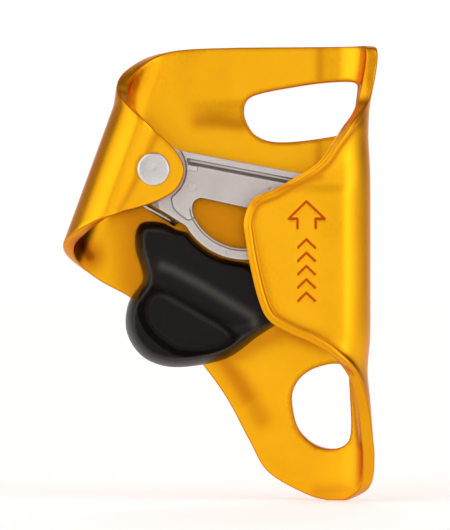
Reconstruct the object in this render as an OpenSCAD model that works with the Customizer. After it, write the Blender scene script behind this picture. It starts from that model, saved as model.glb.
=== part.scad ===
// Chest ascender: a rope clamp with a folded sheet-metal frame, a sprung toothed cam and a thumb catch.
// Millimetres. +Z is up the rope, +X points at the rope channel's closed side, -Y is the front.
// The origin lies on the rope's axis, level with the cam's axle.

/* [Frame] */
// Thickness of the folded sheet
sheet_t = 3; // [2.8:0.1:3.2]
// Half of the distance between the back plate's and the front flange's middle surfaces
half_depth = 7.5; // [7.4:0.05:7.6]
// How far the wall of the rope channel flares outwards at its top end
channel_flare_top = 1.9; // [0:0.1:2.5]
// How far the wall of the rope channel flares outwards at its bottom end
channel_flare_bottom = 1; // [0:0.1:1.5]
// How far the free edge of the rope channel's front flange curls forwards
lip_rise = 1.3; // [0:0.1:1.6]
// How far the rivet's seat on the left flange is set back from the fold's crest
seat_drop = 1; // [0.6:0.1:1.2]
// How far the top of the frame leans back
top_lean = 1.8; // [0:0.1:2.5]
// How far the tail of the frame leans back at its left edge
tail_lean = 4.5; // [0:0.1:5]

/* [Cam] */
// Radius of the rivet's shank
rivet_r = 2.9; // [2.7:0.05:3]
// Radius of the rivet's turned front head
rivet_head_r = 4.15; // [4:0.05:4.4]
// Outer radius of the sleeve that the cam turns on
sleeve_r = 3.8; // [3.6:0.05:3.85]
// Height of the cam's conical teeth
tooth_h = 1.1; // [0.8:0.1:1.2]
// Rows of teeth along the cam's gripping face
tooth_rows = 9; // [6:1:10]

/* [Catch] */
// Radius of the catch's pivot pin
pin_r = 1.5; // [1.3:0.1:1.6]
// Depth of the thumb dish below the catch's front face
dish_depth = 4.5; // [3:0.1:5]

/* [Springs] */
// Diameter of the cam spring's wire
spring_wire = 1.1; // [1:0.05:1.1]
// Turns in the cam spring's coil
spring_turns = 3; // [2:1:3]

/* [Hidden] */
$fn = 64;

gold = [0.94, 0.66, 0.06];
steel = [0.74, 0.72, 0.70];
bright_steel = [0.86, 0.86, 0.85];
black_plastic = [0.06, 0.06, 0.06];

// Where the axle and the catch's pin stand, seen from the front
axle = [-45.1, 0];
catch_pivot = [-9.6, -30.5];

// Faces along Y: the plate's inner face, and the tongue's inner and outer faces at the rivet
plate_in = half_depth - sheet_t / 2;
plate_out = half_depth + sheet_t / 2;
tongue_in = -(half_depth - seat_drop) + sheet_t / 2;
tongue_out = tongue_in - sheet_t;

/* ---------- curves ---------- */

// A point on the Catmull-Rom curve through pts, at the real-valued index k
function on_curve(pts, k) =
    let (
        last = len(pts) - 1,
        i = min(floor(k), last - 1),
        t = k - i,
        a = pts[max(i - 1, 0)],
        b = pts[i],
        c = pts[i + 1],
        d = pts[min(i + 2, last)]
    )
    (2 * b + (c - a) * t + (2 * a - 5 * b + 4 * c - d) * t * t + (3 * b - a - 3 * c + d) * t * t * t) / 2;

// The closed smooth outline through pts, with steps points for each of its spans
function closed_curve(pts, steps) =
    let (n = len(pts), ring = [for (i = [-1:n + 1]) pts[(i + n) % n]])
    [for (k = [0:n * steps - 1]) on_curve(ring, 1 + k / steps)];

// Points on an arc around centre c, from angle a0 to a1
function arc(c, r, a0, a1, steps) =
    [for (k = [0:steps]) c + r * [cos(a0 + (a1 - a0) * k / steps), sin(a0 + (a1 - a0) * k / steps)]];

function ramp(x, x0, x1) = let (t = max(0, min(1, (x - x0) / (x1 - x0)))) t * t * (3 - 2 * t);

/* ---------- the folded sheet ---------- */

// The rope channel's fold, drawn as three arcs: a soft lead-in, the round nose, and a soft lead-out
lead_angle = 8;
lead_len = 8;
lead_r = lead_len * 180 / (PI * lead_angle);
nose_r = (half_depth - lead_r * (1 - cos(lead_angle))) / cos(lead_angle);
nose_len = nose_r * (180 - 2 * lead_angle) * PI / 180;
fold_start = half_depth - lead_r * sin(lead_angle) - nose_r * (1 - sin(lead_angle));

// [x, y] of the channel's middle surface at the flat distance p along the sheet
function channel(p) =
    let (a = p - fold_start, b = a - lead_len, c = b - nose_len, d = c - lead_len, e = lead_len - c)
    a <= 0 ? [p, half_depth] :
    b <= 0 ? [fold_start + lead_r * sin(a / lead_r * 180 / PI),
              half_depth - lead_r * (1 - cos(a / lead_r * 180 / PI))] :
    c <= 0 ? let (t = lead_angle + b / nose_r * 180 / PI) [half_depth - nose_r * (1 - sin(t)), nose_r * cos(t)] :
    d <= 0 ? [fold_start + lead_r * sin(e / lead_r * 180 / PI),
              -half_depth + lead_r * (1 - cos(e / lead_r * 180 / PI))] :
    [fold_start - d, -half_depth];

// The left fold's axis leans to the right. u runs across the fold and v along it.
lean = 20.1;
fold_foot = [-53.65, -5.6];
fold_across = [-cos(lean), sin(lean)];
fold_along = [sin(lean), cos(lean)];
fold_len = PI * half_depth;
// Share by which the left fold is wider at its top
fold_bulge = 0.14;

// [distance from the fold's foot line, depth] at the flat distance u across the left fold
function left_fold(u) =
    u <= fold_len ? let (turn = u / half_depth * 180 / PI) half_depth * [sin(turn), cos(turn)] :
    [fold_len - u, -half_depth + seat_drop * ramp(u, fold_len - 1.4, fold_len + 2.8)];

// Sideways flare of the channel's wall between its two waists, and the lean of the frame's top and tail
waist = 0.5;
function wall_flare(z) =
    channel_flare_top * ramp(z, 14, 29.5) + channel_flare_bottom * pow(min(max(0, -z - 52) / 18.5, 1), 2)
    - waist * (exp(-pow((z - 9) / 7, 2)) + 1.4 * exp(-pow((z + 50) / 6, 2)));
function lean_back(x, z) =
    top_lean * ramp(z, 9.5, 18.5) * ramp(x, -42, -24)
    + tail_lean * pow(max(0, -z - 44) / 38, 1.6) * (1 - ramp(x, -22, 12));

// The middle surface: flat pattern point [p, q] and the distance to the flange's free edge, to [x, y, z]
function bent(p, q, to_edge) =
    let (
        from_foot = [p, q] - fold_foot,
        u = from_foot * fold_across,
        v = from_foot * fold_along,
        left = left_fold(max(u, 0)),
        bulge = 1 + fold_bulge * ramp(v, 19, 26),
        flat = fold_foot + v * fold_along + left[0] * (left[0] > 0 ? bulge : 1) * fold_across,
        right = channel(p),
        side = ramp(p, fold_start + 6, fold_start + 18) * (1 - ramp(p, 26, 34)),
        lip = lip_rise * pow(max(0, 1 - to_edge / 4.5), 2) * ramp(p, 20, 27)
    )
    u > 0
    ? [flat[0], left[1] + lean_back(flat[0], flat[1]), flat[1]]
    : [right[0] + side * wall_flare(q), right[1] - lip + lean_back(right[0], q), q];

function unit(v) = v / norm(v);

// The sheet's two skins at flat point [p, q]: side is 1 for the front or inner skin and -1 for the other
function skin(p, q, to_edge, side) =
    let (
        e = 0.02,
        dp = bent(p + e, q, to_edge - e) - bent(p - e, q, to_edge + e),
        dq = bent(p, q + e, to_edge) - bent(p, q - e, to_edge)
    )
    bent(p, q, to_edge) + side * sheet_t / 2 * unit(cross(dp, dq));

// The flat pattern's two long edges, from top to bottom. Each left point pairs with a right point.
left_edge = [
    [-24, 31.1], [-41, 30], [-51.4, 25.4], [-56.8, 22.9], [-61.2, 21.1], [-70.9, 19.9], [-79.5, 19.4],
    [-84.6, 17], [-86.2, 12.2], [-84.6, 7], [-81.6, 2], [-78.4, -2.5], [-75.8, -8.5], [-73.6, -13.3],
    [-70.3, -18], [-65.9, -22.6], [-58.8, -27.8], [-51.1, -32.1], [-42, -39.3], [-34.5, -47],
    [-27.1, -57], [-21.2, -68], [-16.4, -75.9], [-6.7, -81.5], [-1.2, -83]
];
right_edge = [
    [8.8, 31.3], [10.8, 30.5], [12.1, 27.5], [12.8, 22], [14.1, 18], [16.7, 14.5], [20, 10.6],
    [22.9, 6.6], [27.3, 1.2], [37, -4.6], [43.2, -7.6], [45.4, -12.5], [45.1, -17], [43.9, -24],
    [41.8, -32.4], [39.3, -37.3], [34.2, -40.4], [29, -42.6], [23.3, -46], [17.6, -51.7],
    [14.3, -60], [12.6, -68.5], [11.4, -74.8], [8.4, -79.8], [3.3, -83]
];
row_steps = 2;
// Cells across the left fold, the flat plate and the channel's fold, so that no cell straddles a bend's start
across_cells = [16, 6, 24];
columns = across_cells[0] + across_cells[1] + across_cells[2];

// Where column j of a row from a to b lies, from 0 at a to 1 at b
function column_at(j, a, b) =
    let (
        start_u = (a - fold_foot) * fold_across,
        end_u = (b - fold_foot) * fold_across,
        foot = max(start_u / (start_u - end_u), 0.08),
        bend = max((fold_start - a[0]) / (b[0] - a[0]), foot + 0.1),
        k = j - across_cells[0],
        m = k - across_cells[1]
    )
    k <= 0 ? foot * j / across_cells[0] :
    m <= 0 ? foot + (bend - foot) * k / across_cells[1] :
    bend + (1 - bend) * m / across_cells[2];

// A closed skin around a grid of rows, each row running from the left edge to the right edge
module folded_sheet() {
    rows = (len(left_edge) - 1) * row_steps;
    wide = columns + 1;
    layer = (rows + 1) * wide;
    points = [
        for (side = [1, -1])
            for (i = [0:rows])
                let (a = on_curve(left_edge, i / row_steps), b = on_curve(right_edge, i / row_steps))
                for (j = [0:columns])
                    let (f = a + (b - a) * column_at(j, a, b)) skin(f[0], f[1], b[0] - f[0], side)
    ];
    // Corners of the cell at row i, column j, on the front skin
    function cell(i, j) = [i * wide + j, i * wide + j + 1, (i + 1) * wide + j + 1, (i + 1) * wide + j];
    function split(c) = [[c[0], c[1], c[2]], [c[0], c[2], c[3]]];
    function back(c) = [for (k = [3:-1:0]) c[k] + layer];
    function rim(a, b) = split([b, a, a + layer, b + layer]);
    grid = [for (i = [0:rows - 1]) for (j = [0:columns - 1]) cell(i, j)];
    faces = [
        for (c = grid) each split(c),
        for (c = grid) each [[c[0] + layer, c[2] + layer, c[1] + layer], [c[0] + layer, c[3] + layer, c[2] + layer]],
        for (j = [0:columns - 1]) each rim(j, j + 1),
        for (j = [0:columns - 1]) each rim(rows * wide + j + 1, rows * wide + j),
        for (i = [0:rows - 1]) each rim((i + 1) * wide, i * wide),
        for (i = [0:rows - 1]) each rim(i * wide + columns, (i + 1) * wide + columns)
    ];
    polyhedron(points, faces);
}

// Outlines of the two attachment holes, seen from the front
upper_hole = [
    [-22.6, 15], [-21.6, 18], [-17.9, 19.6], [-10, 21.1], [-3.1, 22.1], [2.6, 22.4], [4.7, 21.6], [5.2, 19.5],
    [5.1, 12], [4, 9.7], [0.9, 8.8], [-8.6, 7.4], [-15.5, 7.3], [-19.8, 9], [-22, 12]
];
lower_hole = [
    [-10.5, -57.5], [-9.2, -53.2], [-6, -50.3], [-1.6, -48.8], [1.6, -48.7], [3.4, -49.6], [3.9, -52],
    [3.9, -58], [3.9, -64], [3.3, -67.8], [1.2, -69.8], [-2.4, -69.9], [-6, -68.2], [-9.2, -64.3]
];

// A cut through the back plate only: it stops inside the channel, clear of the front flange
module plate_cut(outline) {
    translate([0, 20, 0]) rotate([90, 0, 0]) linear_extrude(20) polygon(closed_curve(outline, 3));
}

// A cylinder along Y from y0 (the front end) to y1, at a point seen from the front
module along_y(at, r, y0, y1) {
    translate([at[0], y1, at[1]]) rotate([90, 0, 0]) cylinder(r = r, h = y1 - y0);
}

// A flat shape seen from the front, given thickness from y0 (its front face) to y1
module plate_y(points, y0, y1) {
    translate([0, y1, 0]) rotate([90, 0, 0]) linear_extrude(y1 - y0) polygon(points);
}

module frame() {
    color(gold) difference() {
        folded_sheet();
        plate_cut(upper_hole);
        plate_cut(lower_hole);
        along_y(axle, rivet_r, -20, 20);
        // Flat seats for the rivet's head and for the washers beside the cam
        along_y(axle, rivet_head_r + seat_margin, -20, tongue_out);
        along_y(axle, thrust_r + seat_margin, tongue_in, plate_in);
    }
}

/* ---------- axle ---------- */

head_t = 1.5;
washer_t = 0.6;
thrust_t = 0.45;
thrust_r = 5.6;
seat_margin = 0.2;
run_gap = 0.05;

// Solid of revolution about the axle, from [radius, y] points
module turned(profile) {
    translate([axle[0], 0, axle[1]]) rotate([-90, 0, 0]) rotate_extrude() polygon(profile);
}

module axle_rivet() {
    front = tongue_out;
    back = plate_out + washer_t;
    color(bright_steel) turned([
        [0, front - head_t], [rivet_head_r - 0.9, front - head_t], [rivet_head_r - 0.6, front - head_t + 0.15],
        [rivet_head_r, front - 0.7], [rivet_head_r, front], [rivet_r, front], [rivet_r, back],
        [4, back], [3.6, back + 0.8], [2.6, back + 1.2], [0, back + 1.3]
    ]);
}

module rear_washer() {
    color(steel) difference() {
        along_y(axle, 5.2, plate_out, plate_out + washer_t);
        along_y(axle, rivet_r, plate_out - 1, plate_out + 2);
    }
}

module axle_sleeve() {
    color(steel) difference() {
        along_y(axle, sleeve_r, tongue_in, plate_in);
        along_y(axle, rivet_r, tongue_in - 1, plate_in + 1);
    }
}

module thrust_washer(y0) {
    color(bright_steel) difference() {
        along_y(axle, thrust_r, y0, y0 + thrust_t);
        along_y(axle, sleeve_r + run_gap, y0 - 1, y0 + 1);
    }
}

module front_thrust_washer() {
    thrust_washer(tongue_in);
}

module rear_thrust_washer() {
    thrust_washer(plate_in - thrust_t);
}

/* ---------- cam ---------- */

cam_front = -4;
web_front = -4.75;
web_back = 1.6;
post_back = 5.4;
hub_front = tongue_in + thrust_t + 0.1;
hub_back = plate_in - thrust_t - 0.1;
hub_r = 8.4;
hub_top_r = 7.3;
bow_centre = [-22.5, -5.6];
bow_out = 16.9;
bow_in = 14;
lug_half = 2.4;
lug_r = 4.2;
nose_half = 3.5;

// The gripping face: its radius about the axle grows from top to bottom
face_top = 7;
face_bottom = 34;
function face_r(a) = 47.6 + 4.6 * (a - face_top) / (face_bottom - face_top);
function face_point(a, out) = axle + (face_r(a) + out) * [cos(a), -sin(a)];
gripping_face = [for (k = [0:8]) face_point(face_top + (face_bottom - face_top) * k / 8, 0)];

cam_outline = concat(
    arc(axle, hub_r, 262, 170, 12),
    arc(axle, hub_top_r, 130, 62, 8),
    [[-38.9, 4.85], [-8.4, -0.98], [-1.5, -2.3], [1, -3.4]],
    gripping_face,
    [[-3.6, -30.6]],
    arc(catch_pivot, lug_r, 0, -165, 8),
    [[-15.6, -26.2]],
    arc(bow_centre, bow_out, -78, -150, 10)
);
window = concat(
    [[-33.6, -7], [-13.5, -11.4], [-11.4, -12.8], [-11.2, -14.2]],
    arc(bow_centre, bow_in, -40, -157, 14),
    [[-35.6, -9], [-34.9, -7.6]]
);
// Where the web is raised: from the hub's recess to the gripping nose
web_region = concat(
    arc(axle, 8.2, -62, 42, 10),
    [[-36, 9], [6, 3], [6, -12], [-10.5, -22], [-20, -15], [-33, -13], [-34.6, -13.8], [-36, -12.4]]
);

module cone_tooth(a, y) {
    base = face_point(a, -0.4);
    translate([base[0], y, base[1]]) rotate([0, 90 + a - 14, 0])
        cylinder(r1 = 0.85, r2 = 0.12, h = tooth_h + 0.4, $fn = 16);
}

module teeth() {
    step = (face_bottom - face_top - 5) / (tooth_rows - 1);
    for (k = [0:tooth_rows - 1]) {
        odd = k % 2;
        for (y = odd ? [-2.3, 2.3] : [-1.7, 1.7]) cone_tooth(face_top + 2 + k * step, y);
    }
}

// Everything in front of and behind the nose's own thickness, where the nose enters the channel
module nose_relief() {
    for (side = [-1, 1])
        translate([2, side * (nose_half + 5), -17]) cube([20, 10, 60], center = true);
}

module cam() {
    color(steel) difference() {
        union() {
            difference() {
                plate_y(cam_outline, cam_front, web_back);
                nose_relief();
            }
            // The nose and the catch's lug are thicker than the web
            intersection() {
                plate_y(cam_outline, -nose_half, nose_half);
                translate([-8, -10, -40]) cube([20, 20, 45]);
            }
            difference() {
                intersection() {
                    plate_y(cam_outline, web_front, cam_front + 0.5);
                    plate_y(web_region, web_front, cam_front + 0.5);
                }
                nose_relief();
            }
            along_y(axle, hub_top_r - 0.2, 0, hub_back);
            teeth();
        }
        plate_y(window, -20, 20);
        // Bore for the sleeve, and the hub's front face cut back to clear the tongue
        along_y(axle, sleeve_r + run_gap, -20, 20);
        along_y(axle, 8.2, -20, hub_front);
        spring_pocket();
        // Groove under the top edge
        translate([-23, 0, -0.4]) rotate([0, 10.9, 0]) translate([-13.6, -10, -0.8]) cube([32, 6.2, 1.3]);
        // Slot that lets mud out from between the teeth
        translate([1.5, -0.6, -24]) cube([8, 1.2, 14]);
        // Lug for the catch's fork
        for (y = [lug_half, -20]) along_y(catch_pivot, lug_r + 0.9, y, y + 20 - lug_half);
        along_y(catch_pivot, pin_r + run_gap, -20, 20);
        // Seats for the two pressed pins
        along_y(anchor_at, anchor_r, -20, 20);
        along_y(post_at, post_r, -20, 20);
    }
}

/* ---------- springs and small pins ---------- */

coil_r = 5.65;
coil_front = hub_front + 0.15;
coil_pitch = spring_wire + 0.08;
coil_back = coil_front + spring_turns * coil_pitch + spring_wire;
anchor_at = [-35.7, -4.3];
anchor_r = 1.1;
post_at = [-26.4, -20.6];
post_r = 0.55;

// A ring-shaped pocket around the bore, open to the front, and open to the left where both legs leave it
module spring_pocket() {
    difference() {
        union() {
            along_y(axle, 6.6, -20, coil_back + 0.1);
            plate_y([axle, axle + [-14, 7], axle + [-14, -14], axle + [2, -14]], -20, coil_back + 0.1);
        }
        along_y(axle, 4.9, -30, 30);
    }
}

// A round wire swept along a path of points, with flat ends
module wire(path, r, sides) {
    n = len(path);
    function along(i) = unit(path[min(i + 1, n - 1)] - path[max(i - 1, 0)]);
    function side_of(t) = unit(cross(t, abs(t[1]) < 0.9 ? [0, 1, 0] : [1, 0, 0]));
    points = [
        for (i = [0:n - 1])
            let (t = along(i), a = side_of(t), b = cross(t, a))
            for (k = [0:sides - 1]) path[i] + r * (cos(360 * k / sides) * a + sin(360 * k / sides) * b)
    ];
    faces = [
        [for (k = [0:sides - 1]) k],
        [for (k = [0:sides - 1]) (n - 1) * sides + sides - 1 - k],
        for (i = [0:n - 2])
            for (k = [0:sides - 1])
                let (m = (k + 1) % sides)
                each [
                    [i * sides + k, (i + 1) * sides + m, i * sides + m],
                    [i * sides + k, (i + 1) * sides + k, (i + 1) * sides + m]
                ]
    ];
    polyhedron(points, faces);
}

// A coil about the Y axis through at, from angle a0 over a number of degrees, starting at depth y0
function coil(at, r, y0, pitch, a0, sweep, steps) = [
    for (k = [0:steps])
        let (a = a0 + sweep * k / steps)
        [at[0] + r * cos(a), y0 + pitch * abs(sweep) * k / steps / 360, at[1] + r * sin(a)]
];

module cam_spring() {
    y0 = coil_front + spring_wire / 2;
    y1 = web_back + spring_wire / 2 + 0.1;
    // The front leg points into the left fold and clears its wall at both ends of the cam's travel. The rear
    // leg runs below the cam and hooks over the anchor pin.
    leg_angle = 282;
    hook_angle = 200;
    turns = coil(axle, coil_r, y0, coil_pitch, leg_angle, 360 * spring_turns + hook_angle - leg_angle, 72);
    end = turns[len(turns) - 1];
    y = end[1];
    color(steel) wire(concat(
        [[-54, y0, -7.7], [-49.8, y0, -7]],
        turns,
        [[-50.2, y, -4.8], [-49.4, y, -7.1], [-47.5, y, -8.8], [-44.2, y, -10.8], [-41.6, y, -12.35]],
        [[-40.6, y + 1.3, -13.1], [-39.9, y1, -13.2], [-38.4, y1, -10.5], [-37.4, y1, -4.4]]
    ), spring_wire / 2, 8);
}

module spring_anchor_pin() {
    color(bright_steel) along_y(anchor_at, anchor_r, web_front, web_back + 2);
}

module catch_spring_post() {
    color(bright_steel) along_y(post_at, post_r, cam_front, post_back);
}

/* ---------- safety catch ---------- */

catch_back = 5.2;
catch_front = -4.2;

catch_outline = concat(
    [[-49.1, -13.6], [-47.8, -12.8], [-44.6, -12.8], [-42.6, -13.3], [-39.2, -15.1]],
    arc(bow_centre, bow_out + 0.5, -146, -92, 9),
    [[-20, -24.4], [-16.9, -29.2]],
    arc(catch_pivot, 3.9, 180, -75, 10),
    [[-12.4, -37.4], [-19, -41.6], [-26.1, -46.8], [-33.6, -48.9], [-41, -49.4], [-46.6, -47.8], [-50, -44.8]],
    [[-52, -41], [-52.4, -37], [-51.5, -32.7], [-49.5, -29.9], [-48, -27.6], [-48.4, -24.6], [-49.8, -20]],
    [[-50, -16]]
);
dish_outline = closed_curve([
    [-45.6, -29.6], [-43.4, -25.4], [-32, -31.6], [-20.6, -37.2], [-20.4, -39.4], [-26.5, -44],
    [-34, -46.2], [-41.6, -46.6], [-47.4, -43.8], [-49.6, -38.6], [-48.8, -33.6]
], 3);
dish_floor = closed_curve([
    [-44.4, -34], [-42, -33.4], [-28.6, -41], [-28.4, -43.4], [-34, -44.4], [-41, -44.4], [-45.6, -41.6],
    [-46.4, -37.6]
], 3);

catch_wire = 0.6;
catch_coil_r = 2.2;
catch_coil_y = 3.2;
catch_coil_pitch = catch_wire + 0.05;
catch_coil_turns = 3;
// Directions in which the spring's two legs leave its coil: into the catch, and towards the post
catch_leg_angle = 196;
post_leg_angle = 153.5;

module safety_catch() {
    color(black_plastic) difference() {
        plate_y(catch_outline, catch_front, catch_back);
        plate_y(dish_outline, -20, catch_front + 1.2);
        plate_y(dish_floor, -20, catch_front + dish_depth);
        // The edge that dips into the left fold as the cam opens is chamfered front and back
        for (side = [-1, 1])
            translate([-50.4, (catch_front + catch_back) / 2 + side * 5.8, -23]) rotate([0, 3, 0])
                rotate([0, 0, 45]) cube([5.6, 5.6, 24], center = true);
        // Fork that straddles the cam's lug
        translate([-12.8, -lug_half - 0.2, -45]) cube([30, 2 * lug_half + 0.4, 30]);
        along_y(catch_pivot, lug_r + 0.4, -lug_half - 0.2, lug_half + 0.2);
        along_y(catch_pivot, pin_r, -20, 20);
        // Pocket and slots for the spring, open to the back
        along_y(catch_pivot, catch_coil_r + 0.6, catch_coil_y - 0.1, 20);
        for (slot = [[catch_leg_angle, 1, 8.2], [post_leg_angle, -1, 10]])
            translate([catch_pivot[0], 0, catch_pivot[1]]) rotate([0, -slot[0], 0])
                translate([0, catch_coil_y - 0.1, slot[1] * catch_coil_r - 0.5]) cube([slot[2], 20, 1]);
    }
}

module catch_pin() {
    color(bright_steel) along_y(catch_pivot, pin_r, catch_front, catch_back);
}

module catch_spring() {
    y0 = catch_coil_y + catch_wire / 2;
    start = catch_leg_angle + 90;
    sweep = 360 * catch_coil_turns + post_leg_angle - 90 - start;
    turns = coil(catch_pivot, catch_coil_r, y0, catch_coil_pitch, start, sweep, 48);
    y = turns[len(turns) - 1][1];
    color(steel) wire(concat(
        [[-16, y0, -34.6]],
        turns,
        [[-25.6, y, -19.9], [-27.4, y, -19]]
    ), catch_wire / 2, 8);
}

frame();
axle_rivet();
rear_washer();
axle_sleeve();
front_thrust_washer();
rear_thrust_washer();
cam();
cam_spring();
spring_anchor_pin();
catch_spring_post();
safety_catch();
catch_pin();
catch_spring();
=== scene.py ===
"""Looks of the chest ascender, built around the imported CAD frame.

Blender works in metres; shapes are worked out here in millimetres, in the same frame as the CAD, and
solid() scales them. -Y is the front. A pair of numbers is a point (x, z) seen from the front.
"""
import math

import bpy
import numpy as np
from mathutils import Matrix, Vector, geometry, kdtree


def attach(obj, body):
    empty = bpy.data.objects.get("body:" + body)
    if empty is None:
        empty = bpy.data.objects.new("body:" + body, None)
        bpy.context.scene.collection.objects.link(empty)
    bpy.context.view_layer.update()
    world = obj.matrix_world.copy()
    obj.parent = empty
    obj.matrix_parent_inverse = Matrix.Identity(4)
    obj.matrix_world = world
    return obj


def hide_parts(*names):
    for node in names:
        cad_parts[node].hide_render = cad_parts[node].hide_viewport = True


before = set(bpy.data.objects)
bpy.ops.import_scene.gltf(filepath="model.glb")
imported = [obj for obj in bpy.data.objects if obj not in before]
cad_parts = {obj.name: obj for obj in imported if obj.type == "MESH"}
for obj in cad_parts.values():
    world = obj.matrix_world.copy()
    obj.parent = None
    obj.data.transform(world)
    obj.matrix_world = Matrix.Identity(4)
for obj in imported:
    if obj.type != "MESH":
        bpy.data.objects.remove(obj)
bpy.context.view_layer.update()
MM = 0.001

# ---------- sizes that the CAD source also has ----------

SHEET = 3.0
HALF_DEPTH = 7.5
AXLE = np.array([-45.1, 0.0])
PIVOT = np.array([-9.6, -30.5])
TONGUE_IN = -5.0
TONGUE_OUT = -8.0
PLATE_IN = 6.0
PLATE_OUT = 9.0
RIVET_R = 2.9
HEAD_R = 4.15
HEAD_T = 1.5
SLEEVE_R = 3.8
THRUST_R = 5.6
THRUST_T = 0.45
WASHER_T = 0.6
WASHER_R = 5.2
RUN_GAP = 0.05
HUB_FRONT = TONGUE_IN + THRUST_T + 0.1
HUB_BACK = PLATE_IN - THRUST_T - 0.1
BOW_CENTRE = np.array([-22.5, -5.6])
ANCHOR = np.array([-35.7, -4.3])
ANCHOR_R = 1.1
POST = np.array([-26.4, -20.6])
POST_R = 0.55
PIN_R = 1.5
CAM_WIRE = 1.1
CAM_COIL_R = 5.65
COIL_ROOM = (4.9, 6.6)
CATCH_WIRE = 0.6
CATCH_COIL_R = 2.2
FAR = 20.0  # past any face, for tools that cut right through


# ---------- plane curves ----------

def ramp(x, x0, x1):
    t = np.clip((x - x0) / (x1 - x0), 0, 1)
    return t * t * (3 - 2 * t)


def spline(points, steps=8, closed=False):
    """Points on the Catmull-Rom curve through points."""
    p = np.array(points, float)
    n = len(p)
    t = (np.arange(steps) / steps)[:, None]
    out = []
    for i in range(n if closed else n - 1):
        a, b, c, d = (p[k % n] if closed else p[min(max(k, 0), n - 1)] for k in range(i - 1, i + 3))
        second, third = 2 * a - 5 * b + 4 * c - d, 3 * b - a - 3 * c + d
        out.append((2 * b + (c - a) * t + second * t**2 + third * t**3) / 2)
    return np.vstack(out if closed else out + [p[-1:]])


def arc(centre, r, a0, a1, steps=24):
    a = np.radians(np.linspace(a0, a1, steps + 1))
    return np.array(centre) + r * np.stack([np.cos(a), np.sin(a)], -1)


def evenly(points, spacing, closed=True):
    """The same line with its points the same distance apart."""
    p = np.vstack([points, points[:1]]) if closed else np.array(points)
    step = np.linalg.norm(np.diff(p, axis=0), axis=1)
    at = np.concatenate([[0], np.cumsum(step)])
    count = max(int(round(at[-1] / spacing)), 3)
    where = np.linspace(0, at[-1], count + 1)
    if closed:
        where = where[:-1]
    return np.stack([np.interp(where, at, p[:, k]) for k in range(p.shape[1])], -1)


def soften(points, sigma, spacing=0.2):
    """A closed line with its corners rounded to about sigma millimetres."""
    p = evenly(points, spacing)
    reach = int(3 * sigma / spacing) + 1
    k = np.arange(-reach, reach + 1)
    w = np.exp(-0.5 * (k * spacing / sigma) ** 2)
    w /= w.sum()
    return sum(wi * np.roll(p, -ki, axis=0) for ki, wi in zip(k, w))


def turned_left(points):
    """The same closed line, run anticlockwise."""
    x, z = points[:, 0], points[:, 1]
    area = np.sum(x * np.roll(z, -1) - np.roll(x, -1) * z)
    return points if area > 0 else points[::-1]


def unit(vectors):
    return vectors / np.linalg.norm(vectors, axis=1)[:, None]


def offset(points, d):
    """A closed anticlockwise line moved inwards by d."""
    along = unit(np.roll(points, -1, axis=0) - np.roll(points, 1, axis=0))
    return points + d * np.stack([-along[:, 1], along[:, 0]], -1)


def distance(points, line, closed=True):
    """Distance from each point to a line of segments."""
    a = np.asarray(line, float)
    b = np.roll(a, -1, axis=0) if closed else a[1:]
    a = a if closed else a[:-1]
    ab = b - a
    length = np.maximum((ab**2).sum(1), 1e-12)
    out = np.empty(len(points))
    for i in range(0, len(points), 2000):
        p = points[i:i + 2000, None, :]
        t = np.clip(((p - a) * ab).sum(-1) / length, 0, 1)
        out[i:i + 2000] = np.sqrt(((p - a - t[..., None] * ab) ** 2).sum(-1).min(1))
    return out


def inside(points, line):
    a, b = np.asarray(line), np.roll(line, -1, axis=0)
    out = np.empty(len(points), bool)
    for i in range(0, len(points), 2000):
        x, z = points[i:i + 2000, 0:1], points[i:i + 2000, 1:2]
        cross = (a[:, 1] > z) != (b[:, 1] > z)
        with np.errstate(divide="ignore", invalid="ignore"):
            at = a[:, 0] + (z - a[:, 1]) * (b[:, 0] - a[:, 0]) / (b[:, 1] - a[:, 1])
        out[i:i + 2000] = (cross & (x < at)).sum(1) % 2 == 1
    return out


def signed(points, line):
    """Distance to a closed line, above zero inside it."""
    d = distance(points, line)
    return np.where(inside(points, line), d, -d)


def echoes(line, spacing, steps):
    """Copies of a closed line, moved inwards by each of the steps."""
    line = turned_left(evenly(line, spacing))
    return [offset(line, s) for s in steps]


def lifted(xz, y):
    """Plan points at the depths y."""
    return np.stack([xz[:, 0], np.broadcast_to(y, len(xz)), xz[:, 1]], -1)


def honeycomb(lo, hi, s):
    """Points of a triangular grid with spacing s."""
    rows = []
    for i, z in enumerate(np.arange(lo[1], hi[1], s * math.sqrt(0.75))):
        x = np.arange(lo[0] + (i % 2) * s / 2, hi[0], s)
        rows.append(np.stack([x, np.full(len(x), z)], -1))
    return np.vstack(rows)


def spread_out(points, gap, keep_from=()):
    """Points at least gap apart from each other and from keep_from, the earlier ones first."""
    fixed = len(keep_from)
    both = np.vstack([keep_from, points]) if fixed else points
    tree = kdtree.KDTree(len(both))
    for i, p in enumerate(both):
        tree.insert((p[0], p[1], 0), i)
    tree.balance()
    gone = np.zeros(len(both), bool)
    for i in range(len(both)):
        if gone[i]:
            continue
        for _, j, _ in tree.find_range((both[i][0], both[i][1], 0), gap):
            if j > i and j >= fixed:
                gone[j] = True
    return both[fixed:][~gone[fixed:]]


def on_plate(points, loops):
    """Which points lie inside the first loop and outside the others."""
    ok = inside(points, loops[0])
    for hole in loops[1:]:
        ok &= ~inside(points, hole)
    return ok


def to_nearest(points, lines, closed=True):
    """Distance from each point to the nearest of some lines."""
    return np.min([distance(points, line, closed) for line in lines], axis=0)


EDGE_STEPS = (0.0, 0.12, 0.42, 1.0)  # rings across a rounded edge, in shares of its radius
LOOP_SHARE = 0.6  # spacing along the loops, in shares of the mesh's spacing
FREE_MARGIN, FREE_GAP = 0.45, 0.55  # the honeycomb's distance from the rings and the extra points, likewise
EXTRA_MARGIN, EXTRA_GAP = 0.1, 0.07  # millimetres


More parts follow.
